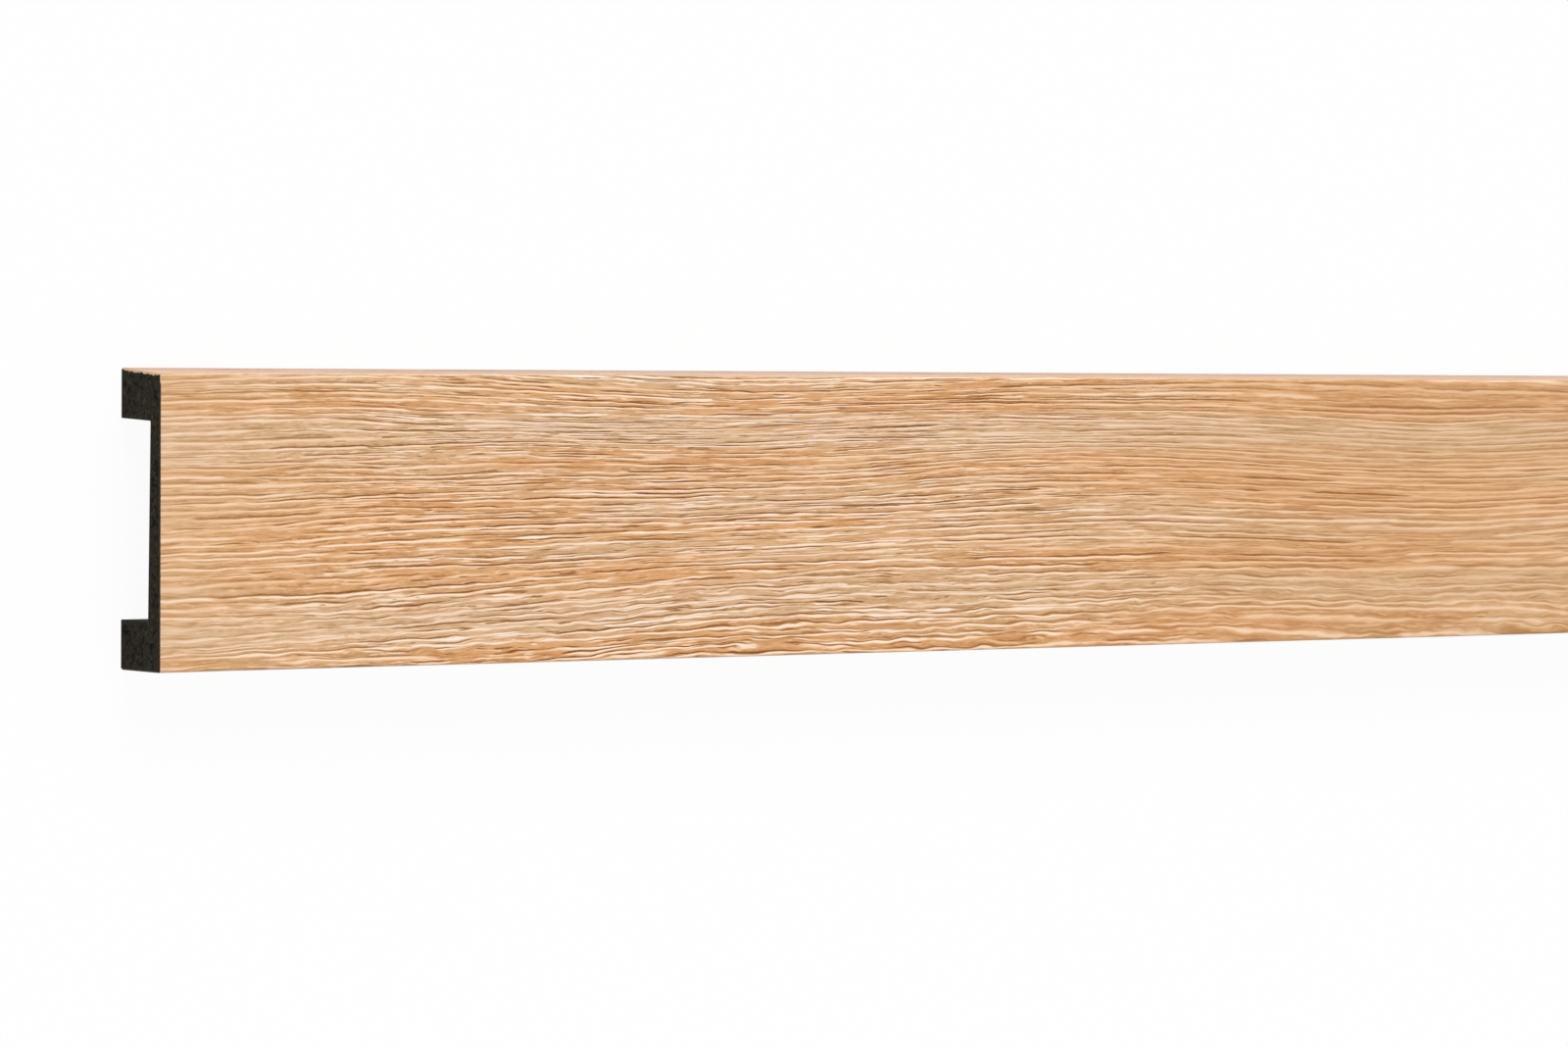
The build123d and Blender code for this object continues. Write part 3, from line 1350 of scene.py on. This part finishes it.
    def closed_band(self, points: np.ndarray) -> bpy.types.Mesh:
        """Joins the loops into one closed skin, with a flat rim along each long edge.

        Args:
            points: the loops, each with the same number of points.

        Returns:
            The mesh, with the map that its finish is baked through.
        """
        loops, columns, _ = points.shape
        ring, column = np.meshgrid(np.arange(loops), np.arange(columns - 1), indexing="ij")
        here = ring * columns + column
        there = (ring + 1) % loops * columns + column
        quads = np.stack([here, there, there + 1, here + 1], axis=2).reshape(-1, 4)
        lower_rim = [loop * columns for loop in reversed(range(loops))]
        upper_rim = [loop * columns + columns - 1 for loop in range(loops)]
        mesh = bpy.data.meshes.new("oak_foil")
        mesh.from_pydata(points.reshape(-1, 3).tolist(), [], [*quads.tolist(), lower_rim, upper_rim])
        self.lay_map(mesh, points)
        return mesh

    def lay_map(self, mesh: bpy.types.Mesh, points: np.ndarray) -> None:
        """Lays the film out in two runs, one above the other, with the inner side and the rims on top.

        Args:
            mesh: the film's mesh.
            points: its loops of points.
        """
        runs, run_height, run_gap = 2, 0.46, 0.015
        inner_width, inner_start, inner_height = 0.98, 0.97, 0.012
        rim_stretch, rim_start, rim_height, rim_depth = 2.1, 0.988, 0.01, 2 * MM
        loops, columns, _ = points.shape
        corners = corner_points(mesh)
        ring, column = corners // columns, corners % columns
        half = loops // runs
        quads = loops * (columns - 1)
        face = np.repeat(np.arange(loops), (columns - 1) * 4)
        run = np.minimum(face // half, runs - 1)
        flat = np.zeros((len(corners), 2))
        grid = slice(0, quads * 4)
        flat[grid, 0] = (ring[grid] - run * half) / (loops - half)
        flat[grid, 1] = run * (run_height + run_gap) + column[grid] / (columns - 1) * run_height
        inner = np.zeros(len(corners), bool)
        inner[grid] = face == loops - 1
        flat[inner, 0] = (ring[inner] > 0) * inner_width
        flat[inner, 1] = inner_start + column[inner] / (columns - 1) * inner_height
        rims = slice(quads * 4, None)
        rim_points = points.reshape(-1, 3)[corners[rims]]
        flat[rims, 0] = rim_points[:, 0] / (points[-1, 0, 0] * rim_stretch) + 0.5
        depth = np.abs(np.abs(rim_points[:, 1]) - self.section.foil_side)
        flat[rims, 1] = rim_start + depth / rim_depth * rim_height
        store_map(mesh, flat)

    def emboss_tree(self) -> bpy.types.NodeTree:
        """The nodes that press the broad grooves of the grain into the film.

        Returns:
            The tree.
        """
        sheet, entry = geometry_tree(
            "Emboss grain", {"Depth": "NodeSocketFloat", "Finish": "NodeSocketMaterial"}
        )
        place = sheet.named(FILM_PLACE, "FLOAT_VECTOR")
        pressed = sheet.named(Carried.EMBOSS.value)
        sunk = self.finish.grain.broad_height(sheet, place) * pressed * entry.other("Depth")
        offset = sheet.scaled(sheet.add("GeometryNodeInputNormal"), sunk)
        moved = sheet.add("GeometryNodeSetPosition", {}, {"Geometry": entry, "Offset": offset})
        return finish_tree(sheet, entry, moved)


@dataclass
class FoamCore:
    """The extruded core: a smooth skin along the length, and open cells on the sawn ends.

    Attributes:
        section: the moulding's cross-section.
        finish: the foam.
        outline_step: the distance between points round the outline.
        cut_step: the distance between points on a sawn end.
        jitter: how far those are moved at random, as a share of that distance.
        clearance: how far they keep from the outline, as a share of it too.
        rows: how many rows of faces run along the core.
        cell: the size of an open cell.
        cell_shown: from where in a cell to where it rises from its floor to the cut.
        crowd_cell: the size of the patches where the cells are open.
        crowd_shown: where the noise that makes those patches starts and ends its rise.
        pit_depth: how deep the open cells are.
        skin_width: how wide the dense rim of a sawn end is, where no cell is open.
        skin_fade_mm: over what distance inside that rim the cells reach their full depth.
        die_line: the height of the lines along the skin.
        die_pitch_mm: the distance between them.
        seed: picks how the points of a sawn end are moved.
    """

    section: Section
    finish: BlackFoam = BlackFoam()
    outline_step: float = 0.26 * MM
    cut_step: float = 0.21 * MM
    jitter: float = 0.22
    clearance: float = 0.55
    rows: int = 36
    cell: float = 0.62 * MM
    cell_shown: Span = (0.12, 0.5)
    crowd_cell: float = 1.6 * MM
    crowd_shown: Span = (0.42, 0.6)
    pit_depth: float = 0.22 * MM
    skin_width: float = 0.7 * MM
    skin_fade_mm: float = 0.8
    die_line: float = 0.018 * MM
    die_pitch_mm: float = 1.7
    seed: int = 12

    def build(self) -> bpy.types.Object:
        """Makes the core.

        Returns:
            The finished piece.
        """
        outline = self.section.core_outline(self.outline_step)
        around = lengths_along(outline)
        inside, triangles, from_skin = self.cut_face(outline)
        count, last = len(outline), self.rows * len(outline)
        stations = np.linspace(self.section.start, self.section.end, self.rows + 1)
        sides = np.concatenate([np.column_stack([np.full(count, x), outline]) for x in stations])
        near = np.column_stack([np.full(len(inside), self.section.start), inside])
        far = np.column_stack([np.full(len(inside), self.section.end), inside])
        points = np.concatenate([sides, near, far])
        row, column = np.meshgrid(np.arange(self.rows), np.arange(count), indexing="ij")
        here, beside = row * count + column, row * count + (column + 1) % count
        quads = np.stack([here, here + count, beside + count, beside], axis=2).reshape(-1, 4)
        on_near = np.where(triangles < count, triangles, triangles + last)
        on_far = np.where(triangles < count, triangles + last, triangles + last + len(inside))
        mesh = bpy.data.meshes.new("foam_core")
        faces = quads.tolist() + on_near[:, ::-1].tolist() + on_far.tolist()
        mesh.from_pydata(points.tolist(), [], faces)
        self.lay_map(mesh, points, len(quads), len(triangles), around)
        on_skin, on_cut = np.zeros(len(sides)), np.ones(len(inside))
        round_skin = np.tile(around, self.rows + 1)
        store(mesh, Carried.CUT.value, np.concatenate([on_skin, -on_cut, on_cut]))
        store(mesh, Carried.FROM_SKIN.value, np.concatenate([on_skin, from_skin, from_skin]) / MM)
        store(mesh, Carried.AROUND.value, np.concatenate([round_skin, 0 * on_cut, 0 * on_cut]) / MM)
        obj = place_object("foam_core", mesh)
        inputs = {
            "Cell Size": self.cell / MM,
            "Pit Depth": self.pit_depth,
            "Skin Width": self.skin_width / MM,
            "Die Line": self.die_line,
            "Finish": self.finish.material(),
        }
        shaped_by_nodes(obj, self.foam_tree(), inputs)
        obj.data.shade_smooth()
        dress(obj, "core")
        return obj

    def cut_face(self, outline: np.ndarray) -> tuple[np.ndarray, np.ndarray, np.ndarray]:
        """Fills the outline with small triangles.

        Args:
            outline: the closed outline.

        Returns:
            The points inside it, the triangles, whose first points are those of the outline, and how
            far each inside point is from the outline.
        """
        step = self.cut_step
        low, high = outline.min(0), outline.max(0)
        row_step = step * math.sqrt(3) / 2
        grid = []
        for index, z in enumerate(np.arange(low[1], high[1], row_step)):
            row = np.arange(low[0] + index % 2 * step / 2, high[0], step)
            grid.append(np.column_stack([row, np.full(len(row), z)]))
        spots = np.concatenate(grid)
        moves = np.random.default_rng(self.seed).uniform(-self.jitter, self.jitter, spots.shape)
        spots = spots + moves * step
        crossings = np.zeros(len(spots), int)
        nearest = np.full(len(spots), np.inf)
        for start, end in zip(outline, np.roll(outline, -1, axis=0), strict=True):
            run = end - start
            spans = (start[1] > spots[:, 1]) != (end[1] > spots[:, 1])
            rise = run[1] if run[1] != 0 else np.inf
            reach = start[0] + (spots[:, 1] - start[1]) / rise * run[0]
            crossings += spans & (spots[:, 0] < reach)
            share = np.clip((spots - start) @ run / (run @ run), 0, 1)
            gap = np.linalg.norm(spots - start - share[:, None] * run, axis=1)
            nearest = np.minimum(nearest, gap)
        held = (crossings % 2 == 1) & (nearest > self.clearance * step)
        inside, from_skin = spots[held], nearest[held]
        points = [Vector(p) for p in np.concatenate([outline, inside]) / MM]
        border = list(range(len(outline)))
        keep_inside, exact = 1, 1e-6
        _, _, faces, origins, _, _ = delaunay_2d_cdt(points, [], [border], keep_inside, exact)
        first = np.array([origin[0] for origin in origins])
        triangles = first[np.array(faces)]
        return inside, triangles, from_skin

    def lay_map(
        self, mesh: bpy.types.Mesh, points: np.ndarray, quads: int, triangles: int, around: np.ndarray
    ) -> None:
        """Lays the skin out in the lower half of the map and the sawn ends above it.

        Args:
            mesh: the core's mesh.
            points: its points.
            quads: how many faces the skin has.
            triangles: how many faces each end has.
            around: the distance round the outline at each of its points.
        """
        skin_height, end_start, end_pitch, end_height = 0.5, 0.52, 0.24, 0.22
        section = self.section
        corners = corner_points(mesh)
        place = points[corners]
        flat = np.zeros((len(corners), 2))
        skin = slice(0, quads * 4)
        column = np.tile(np.arange(len(around)), self.rows)[:, None] + np.array([0, 0, 1, 1])
        total = around[-1] + self.outline_step
        distance = np.append(around, total)[column.ravel()]
        flat[skin, 0] = (place[skin, 0] - section.start) / (section.end - section.start)
        flat[skin, 1] = distance / total * skin_height
        for index in range(len(CutEnd)):
            first = quads * 4 + index * triangles * 3
            cut = slice(first, first + triangles * 3)
            flat[cut, 0] = (place[cut, 1] + section.core_side) / (2 * section.core_side)
            height = place[cut, 2] / section.core_top * end_height
            flat[cut, 1] = end_start + end_pitch * index + height
        store_map(mesh, flat)

    def foam_tree(self) -> bpy.types.NodeTree:
        """The nodes that sink the cut cells into the ends and draw faint lines along the skin.

        Returns:
            The tree.
        """
        sheet, entry = geometry_tree(
            "Foam and skin",
            {
                "Cell Size": "NodeSocketFloat",
                "Pit Depth": "NodeSocketFloat",
                "Skin Width": "NodeSocketFloat",
                "Die Line": "NodeSocketFloat",
                "Finish": "NodeSocketMaterial",
            },
        )
        cut = sheet.named(Carried.CUT.value)
        depth = sheet.named(Carried.FROM_SKIN.value)
        around = sheet.named(Carried.AROUND.value)
        position = sheet.add("GeometryNodeInputPosition")
        cells = sheet.scaled(position, 1 / (entry.other("Cell Size") * MM))
        spots = {"Vector": cells, "Scale": 1.0}
        from_middle = sheet.add(
            "ShaderNodeTexVoronoi", {"voronoi_dimensions": "3D"}, spots, "Distance"
        )
        crowd = sheet.noise(position, (self.crowd_cell,) * 3, seed=6.0, detail=1.0)
        inner = ((depth - entry.other("Skin Width")) / self.skin_fade_mm).clamped()
        pit = (1 - from_middle.rise(*self.cell_shown)) * crowd.rise(*self.crowd_shown) * inner
        sunk = -cut * pit * entry.other("Pit Depth")
        sinking = sheet.add("ShaderNodeCombineXYZ", {}, {"X": sunk})
        round_place = sheet.add("ShaderNodeCombineXYZ", {}, {"X": around})
        ridges = sheet.noise(round_place, (self.die_pitch_mm, 1.0, 1.0), seed=14.0, detail=2.0) - 0.5
        lift = ridges * (1 - cut.size()) * entry.other("Die Line")
        drawn = sheet.scaled(sheet.add("GeometryNodeInputNormal"), lift)
        offset = sheet.add("ShaderNodeVectorMath", {"operation": "ADD"}, {0: sinking, 1: drawn})
        moved = sheet.add("GeometryNodeSetPosition", {}, {"Geometry": entry, "Offset": offset})
        return finish_tree(sheet, entry, moved)


# Floor, light and camera


@dataclass
class Studio:
    """A pale floor, soft even light and the camera at the photograph's viewing angle.

    Attributes:
        aim: the point of the face at the middle of the picture.
        distance: from there to the camera.
        swing: how far the camera is turned from face-on towards the near end, in degrees.
        rise: how far it stands towards the upper edge, in degrees.
        roll: how far it is turned about its own line of sight, in degrees.
        lens: its focal length in mm.
        film_width: the width of its frame in mm.
        sight: how far it sees.
        sky: the brightness of the light from all round.
        key: the strength of the large lamp on the side of the upper edge.
        key_tilt: how far that lamp stands from straight above towards that side, in degrees.
        key_softness: how wide it looks, in degrees.
        floor_size: the length of the floor's sides.
        floor_gap: how far below the feet it lies.
        floor_white: its colour under the light.
        backdrop_share: how much of it is plain white to the eye.
        white: the colour of the backdrop.
    """

    aim: tuple[float, float, float] = (-0.8502, -0.002, 0.016)
    distance: float = 1.2411
    swing: float = -35.204
    rise: float = -1.433
    roll: float = 0.296
    lens: float = 135.0
    film_width: float = 36.0
    sight: float = 50.0
    sky: float = 0.56
    key: float = 2.15
    key_tilt: float = 50.0
    key_softness: float = 34.0
    floor_size: float = 9.0
    floor_gap: float = 0.05 * MM
    floor_white: Colour = (0.9, 0.9, 0.9, 1.0)
    backdrop_share: float = 0.95
    white: Colour = (1.0, 1.0, 1.0, 1.0)

    def build(self) -> None:
        """Makes the floor, the light and the camera."""
        self.lay_floor()
        self.light()
        self.place_camera()
        bpy.context.scene.view_settings.view_transform = "Standard"

    def seen_plainly(self, sheet: NodeSheet) -> Wire:
        """Tells the rays that reach the eye straight, by a mirror or through glass from the others.

        Args:
            sheet: the tree of a material or of the world.

        Returns:
            1 for those rays, 0 for the others.
        """
        camera = sheet.add("ShaderNodeLightPath", {}, {}, "Is Camera Ray")
        glossy, through = camera.other("Is Glossy Ray"), camera.other("Is Transmission Ray")
        return camera.maths("MAXIMUM", camera, camera.maths("MAXIMUM", glossy, through))

    def lay_floor(self) -> None:
        """Makes the floor, which looks white and keeps a soft shadow."""
        half = self.floor_size / 2
        corners = [(-half, -half), (half, -half), (half, half), (-half, half)]
        mesh = bpy.data.meshes.new("floor")
        mesh.from_pydata([(x, y, -self.floor_gap) for x, y in corners], [], [(0, 1, 2, 3)])
        floor = place_object("floor", mesh)
        material, sheet = blank_material("white_floor")
        matt = sheet.add("ShaderNodeBsdfDiffuse", {}, {"Color": self.floor_white})
        white = sheet.add("ShaderNodeEmission", {}, {"Color": self.white, "Strength": 1.0})
        share = self.seen_plainly(sheet) * self.backdrop_share
        both = sheet.add("ShaderNodeMixShader", {}, {0: share, 1: matt, 2: white})
        sheet.add("ShaderNodeOutputMaterial", {}, {"Surface": both})
        mesh.materials.append(material)

    def light(self) -> None:
        """Makes an even sky, white to the eye, and one large soft lamp."""
        world = bpy.data.worlds.new("studio")
        bpy.context.scene.world = world
        world.use_nodes = True
        world.node_tree.nodes.clear()
        sheet = NodeSheet(world.node_tree)
        strength = self.sky + self.seen_plainly(sheet) * (1 - self.sky)
        sky = sheet.add("ShaderNodeBackground", {}, {"Color": self.white, "Strength": strength})
        sheet.add("ShaderNodeOutputWorld", {}, {"Surface": sky})
        lamp = bpy.data.lights.new("key", "SUN")
        lamp.energy = self.key
        lamp.angle = math.radians(self.key_softness)
        key = place_object("key", lamp)
        key.rotation_euler = Euler((-math.radians(self.key_tilt), 0.0, 0.0))

    def place_camera(self) -> None:
        """Makes the camera and aims it."""
        data = bpy.data.cameras.new("camera")
        data.lens = self.lens
        data.sensor_width = self.film_width
        data.clip_end = self.sight
        camera = place_object("camera", data)
        angles = (math.radians(a) for a in (self.rise, self.swing, self.roll))
        turn = Euler(tuple(angles), "ZXY")
        camera.rotation_mode = "ZXY"
        camera.rotation_euler = turn
        camera.location = Vector(self.aim) + turn.to_matrix() @ Vector((0.0, 0.0, self.distance))
        bpy.context.scene.camera = camera


def main() -> None:
    """Builds every piece in order, and then the studio."""
    logging.basicConfig(level=logging.INFO, format="%(name)s: %(message)s")
    section = Section()
    for piece in (FoamCore(section), OakFoil(section)):
        obj = piece.build()
        log.info("%s: %d faces", obj.name, len(obj.data.polygons))
    Studio().build()


if __name__ == "__main__":
    main()
